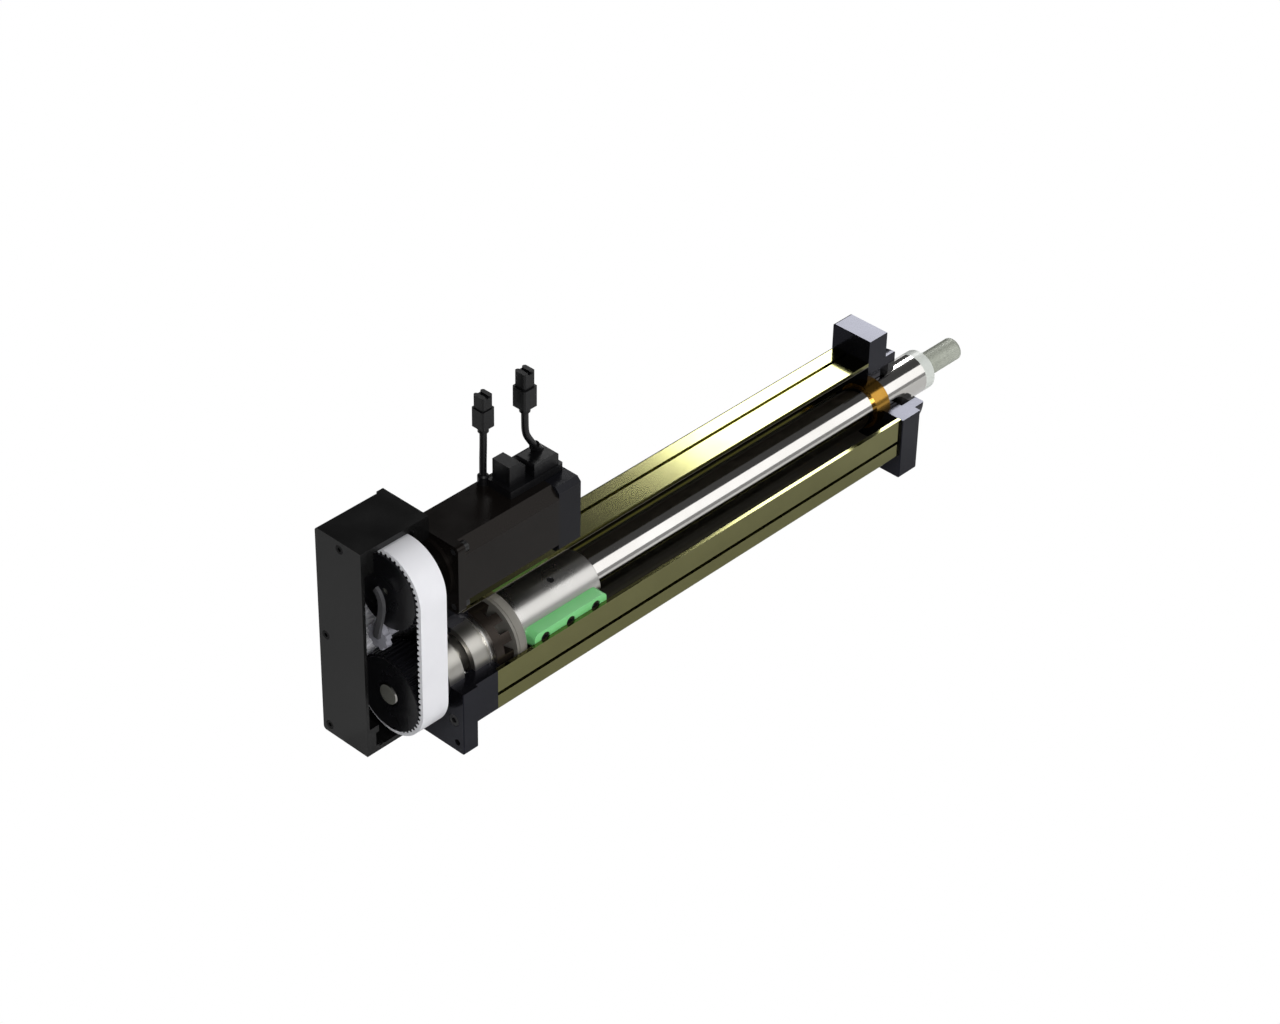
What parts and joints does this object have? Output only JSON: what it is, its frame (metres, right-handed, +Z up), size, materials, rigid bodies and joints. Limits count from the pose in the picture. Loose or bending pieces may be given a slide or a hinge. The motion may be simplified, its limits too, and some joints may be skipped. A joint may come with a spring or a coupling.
{
  "type": "electric cylinder",
  "caption": "Cut-away electric rod cylinder: ball screw and piston rod in a square barrel, driven by a servo motor mounted parallel through a toothed belt.",
  "frame": {"origin": "centre of the front flange's mounting face, on the rod's axis", "axes": "+X along the rod, out of the cylinder; +Z up, towards the motor; -Y towards the cut-away side"},
  "size_m": [0.671, 0.088, 0.2758],
  "materials": {
    "housing_black": "satin",
    "flange_black": "semi-gloss",
    "barrel_anodised": "satin anodised",
    "screw_steel": "satin",
    "bush_bronze": "satin",
    "seal_rubber": "matte",
    "bearing_steel": "ground",
    "cage_steel": "satin",
    "retainer_oxide": "satin",
    "motor_paint": "satin",
    "plug_plastic": "matte",
    "lead_sheath": "matte",
    "belt_rubber": "matte",
    "tensioner_metal": "satin",
    "disc_metal": "satin",
    "wear_plastic": "matte",
    "piston_steel": "ground",
    "pad_green": "satin",
    "rod_chrome": "polished",
    "stud_steel": "satin",
    "screw_ground": "ground",
    "support_plastic": "matte",
    "pulley_black": "anodised",
    "shaft_steel": "ground"
  },
  "bodies": {
    "frame": {"belt_housing": "housing_black", "housing_cover": "housing_black", "cover_screws": "screw_steel", "rear_flange": "flange_black", "rear_flange_bolts": "screw_steel", "bearing_block": "flange_black", "barrel": "barrel_anodised", "front_flange": "flange_black", "front_flange_bolts": "screw_steel", "rod_bush": "bush_bronze", "wiper_seal": "seal_rubber", "rear_bearing_outer_ring": "bearing_steel", "rear_bearing_balls": "bearing_steel", "rear_bearing_cage": "cage_steel", "front_bearing_outer_ring": "bearing_steel", "front_bearing_balls": "bearing_steel", "front_bearing_cage": "cage_steel", "retainer_washer": "bearing_steel", "bearing_retainer": "retainer_oxide", "motor_flange": "motor_paint", "motor_body": "motor_paint", "encoder_cover": "motor_paint", "motor_screws": "screw_steel", "outlet_plinth": "plug_plastic", "power_outlet": "plug_plastic", "encoder_outlet": "plug_plastic", "power_gland": "plug_plastic", "lead_power": "lead_sheath", "power_plug": "plug_plastic", "encoder_gland": "plug_plastic", "lead_encoder": "lead_sheath", "encoder_plug": "plug_plastic", "timing_belt": "belt_rubber", "tensioner_stud": "tensioner_metal", "tensioner_knob": "tensioner_metal", "tensioner_lever": "tensioner_metal"},
    "rod": {"guide_disc": "disc_metal", "wear_ring": "wear_plastic", "piston": "piston_steel", "ball_nut": "piston_steel", "set_screw": "screw_steel", "guide_pad_near": "pad_green", "guide_pad_far": "pad_green", "pad_screws": "screw_steel", "rod_tube": "rod_chrome", "rod_end_cap": "rod_chrome", "rod_stud": "stud_steel"},
    "screw": {"ball_screw": "screw_ground", "screw_pulley": "pulley_black", "screw_pulley_flanges": "pulley_black", "screw_key": "shaft_steel", "rear_bearing_inner_ring": "bearing_steel", "front_bearing_inner_ring": "bearing_steel", "inner_spacer": "bearing_steel", "shaft_lock_nut": "bearing_steel", "screw_support_bush": "support_plastic"},
    "motor_rotor": {"motor_shaft": "shaft_steel", "motor_pulley": "pulley_black", "motor_pulley_flanges": "pulley_black", "motor_key": "shaft_steel"}
  },
  "joints": [
    {"name": "rod_slide", "type": "slide", "parent": "frame", "child": "rod", "axis": [1, 0, 0], "range_m": [0, 0.3]},
    {"name": "screw_spin", "type": "hinge", "parent": "frame", "child": "screw", "pos_m": [-0.3, 0, 0], "axis": [1, 0, 0], "continuous": true, "deforming": ["timing_belt"]},
    {"name": "motor_spin", "type": "hinge", "parent": "frame", "child": "motor_rotor", "pos_m": [-0.54, 0, 0.095], "axis": [1, 0, 0], "continuous": true}
  ],
  "couplings": [
    {"joint": "screw_spin", "follows": "rod_slide", "rad_per_m": -628.32},
    {"joint": "motor_spin", "follows": "rod_slide", "rad_per_m": -628.32}
  ]
}
